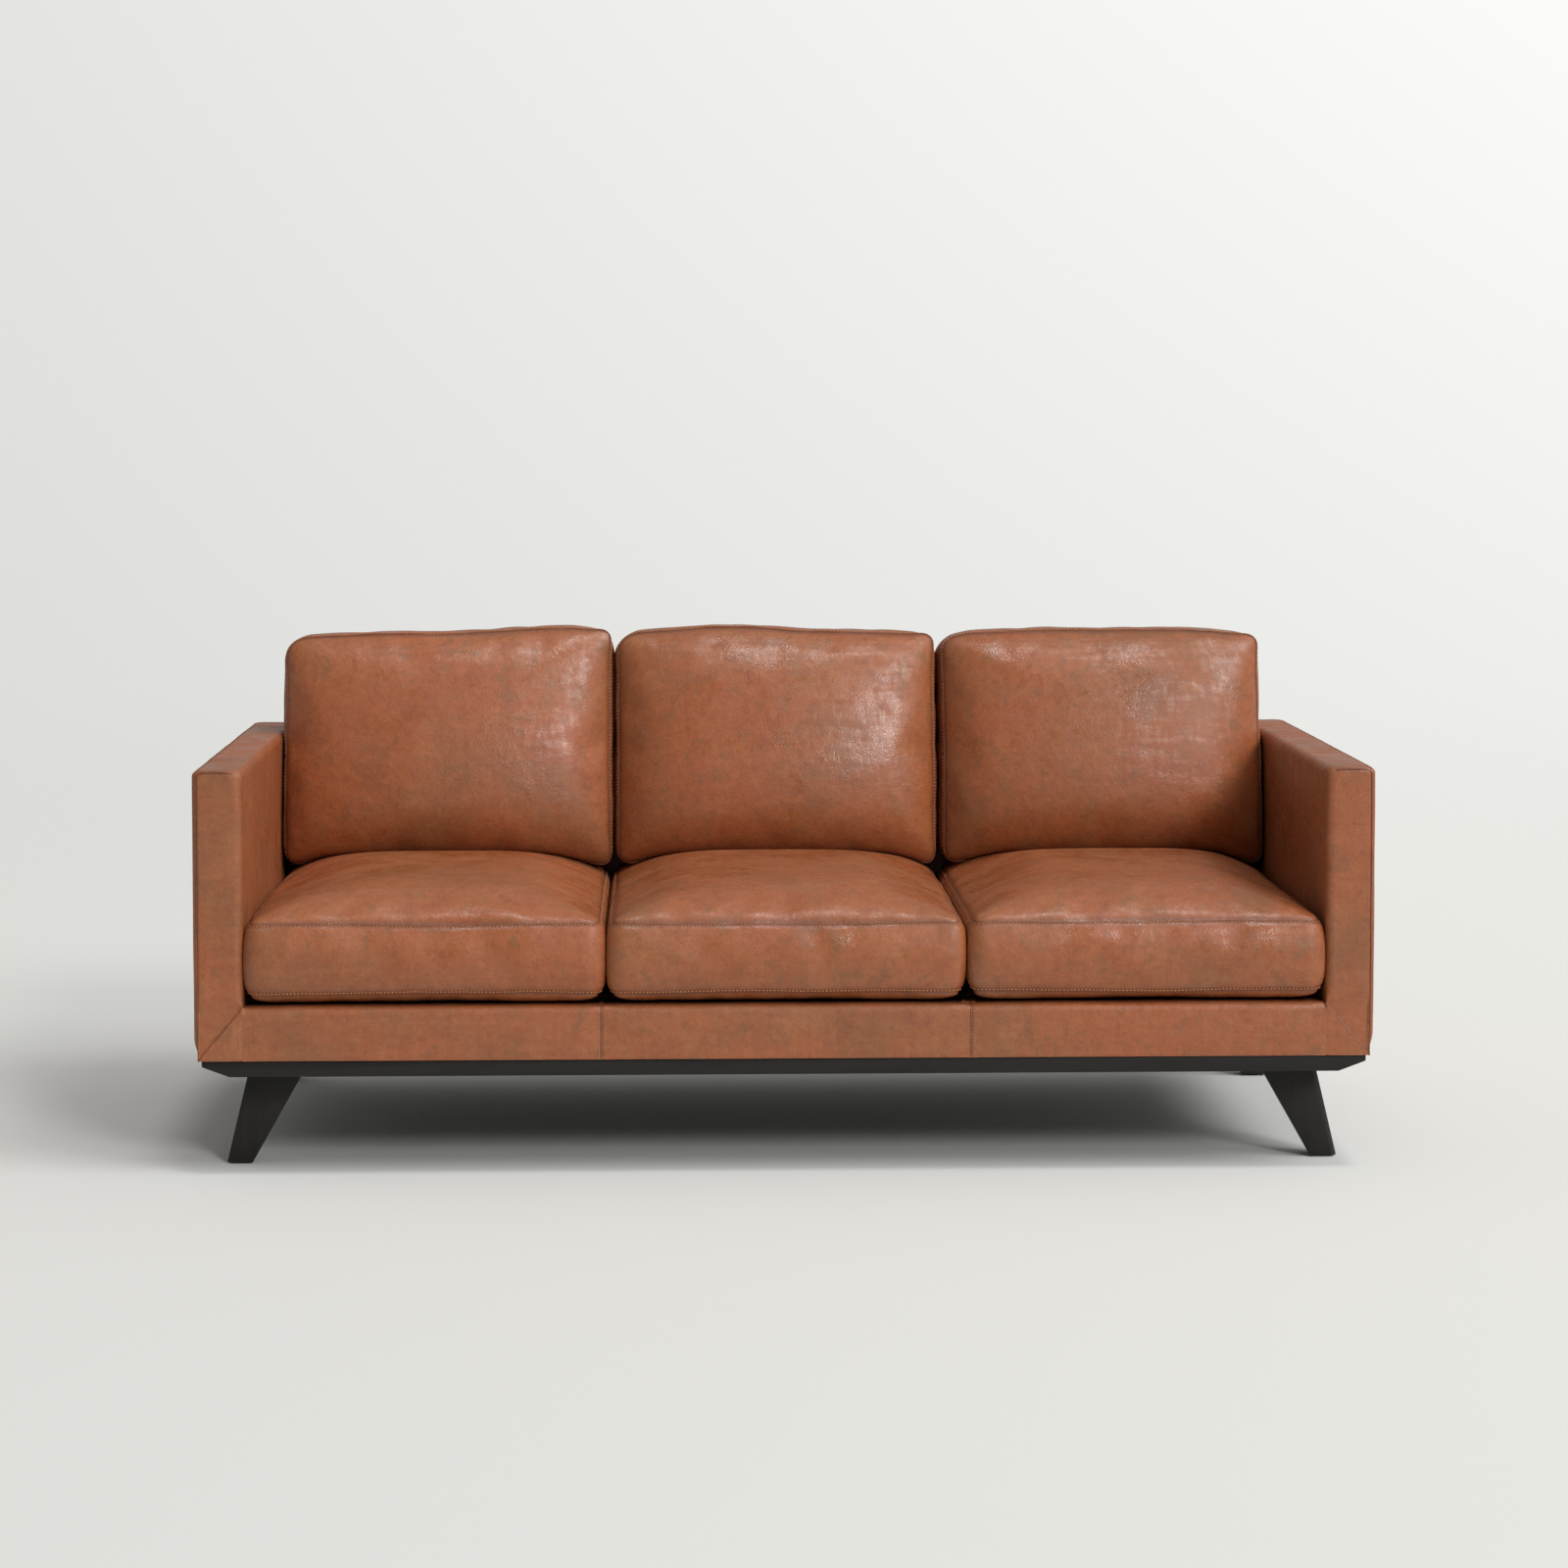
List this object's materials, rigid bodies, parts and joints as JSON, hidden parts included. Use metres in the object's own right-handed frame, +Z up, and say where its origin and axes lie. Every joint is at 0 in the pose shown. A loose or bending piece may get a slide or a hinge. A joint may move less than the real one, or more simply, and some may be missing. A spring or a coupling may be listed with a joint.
{
  "type": "sofa",
  "caption": "Boxy leather sofa with thin square arms, loose seat and back cushions, and splayed tapered wooden legs under a dark plinth.",
  "frame": {"origin": "on the floor under the middle of the sofa, halfway across and halfway front to back", "axes": "+X to the viewer's right when facing the sofa, +Y to the back, +Z up"},
  "size_m": [2.028, 0.95, 0.89],
  "materials": {
    "tan_leather": "waxy semi-gloss, mottled",
    "dark_wood": "near-black satin stain",
    "frame_timber": "plain unfinished",
    "foam": "open-cell foam",
    "spring_steel": "bright wire",
    "black_nylon": "matte",
    "brown_zip": "woven tape",
    "deck_cloth": "felted cloth",
    "black_cloth": "thin non-woven cloth"
  },
  "bodies": {
    "sofa_frame": {"front_plinth_rail": "dark_wood", "rear_plinth_rail": "dark_wood", "left_plinth_board": "dark_wood", "right_plinth_board": "dark_wood", "front_left_leg": "dark_wood", "front_left_leg_bolt": "spring_steel", "front_left_glide": "black_nylon", "front_right_leg": "dark_wood", "front_right_leg_bolt": "spring_steel", "front_right_glide": "black_nylon", "rear_left_leg": "dark_wood", "rear_left_leg_bolt": "spring_steel", "rear_left_glide": "black_nylon", "rear_right_leg": "dark_wood", "rear_right_leg_bolt": "spring_steel", "rear_right_glide": "black_nylon", "left_arm_cover": "tan_leather", "left_arm_frame": "frame_timber", "right_arm_cover": "tan_leather", "right_arm_frame": "frame_timber", "back_cover": "tan_leather", "back_frame": "frame_timber", "front_rail_cover": "tan_leather", "front_seat_rail": "frame_timber", "rear_seat_rail": "frame_timber", "left_seat_rail": "frame_timber", "right_seat_rail": "frame_timber", "left_stretcher": "frame_timber", "right_stretcher": "frame_timber", "left_seat_spring_1": "spring_steel", "left_seat_spring_2": "spring_steel", "left_seat_spring_3": "spring_steel", "middle_seat_spring_1": "spring_steel", "middle_seat_spring_2": "spring_steel", "middle_seat_spring_3": "spring_steel", "right_seat_spring_1": "spring_steel", "right_seat_spring_2": "spring_steel", "right_seat_spring_3": "spring_steel", "seat_deck": "deck_cloth", "dust_cover": "black_cloth"},
    "seat_cushion_left": {"seat_cushion_left_cover": "tan_leather", "seat_cushion_left_core": "foam", "seat_cushion_left_zip": "brown_zip"},
    "seat_cushion_middle": {"seat_cushion_middle_cover": "tan_leather", "seat_cushion_middle_core": "foam", "seat_cushion_middle_zip": "brown_zip"},
    "seat_cushion_right": {"seat_cushion_right_cover": "tan_leather", "seat_cushion_right_core": "foam", "seat_cushion_right_zip": "brown_zip"},
    "back_cushion_left": {"back_cushion_left_cover": "tan_leather", "back_cushion_left_core": "foam", "back_cushion_left_zip": "brown_zip"},
    "back_cushion_middle": {"back_cushion_middle_cover": "tan_leather", "back_cushion_middle_core": "foam", "back_cushion_middle_zip": "brown_zip"},
    "back_cushion_right": {"back_cushion_right_cover": "tan_leather", "back_cushion_right_core": "foam", "back_cushion_right_zip": "brown_zip"}
  },
  "joints": [
    {"name": "seat_cushion_left_pull_out", "type": "slide", "parent": "sofa_frame", "child": "seat_cushion_left", "axis": [0, -1, 0], "range_m": [0, 0.85]},
    {"name": "seat_cushion_middle_pull_out", "type": "slide", "parent": "sofa_frame", "child": "seat_cushion_middle", "axis": [0, -1, 0], "range_m": [0, 0.85]},
    {"name": "seat_cushion_right_pull_out", "type": "slide", "parent": "sofa_frame", "child": "seat_cushion_right", "axis": [0, -1, 0], "range_m": [0, 0.85]},
    {"name": "back_cushion_left_lift_off", "type": "slide", "parent": "sofa_frame", "child": "back_cushion_left", "axis": [0, 0, 1], "range_m": [0, 0.35]},
    {"name": "back_cushion_middle_lift_off", "type": "slide", "parent": "sofa_frame", "child": "back_cushion_middle", "axis": [0, 0, 1], "range_m": [0, 0.35]},
    {"name": "back_cushion_right_lift_off", "type": "slide", "parent": "sofa_frame", "child": "back_cushion_right", "axis": [0, 0, 1], "range_m": [0, 0.35]}
  ]
}
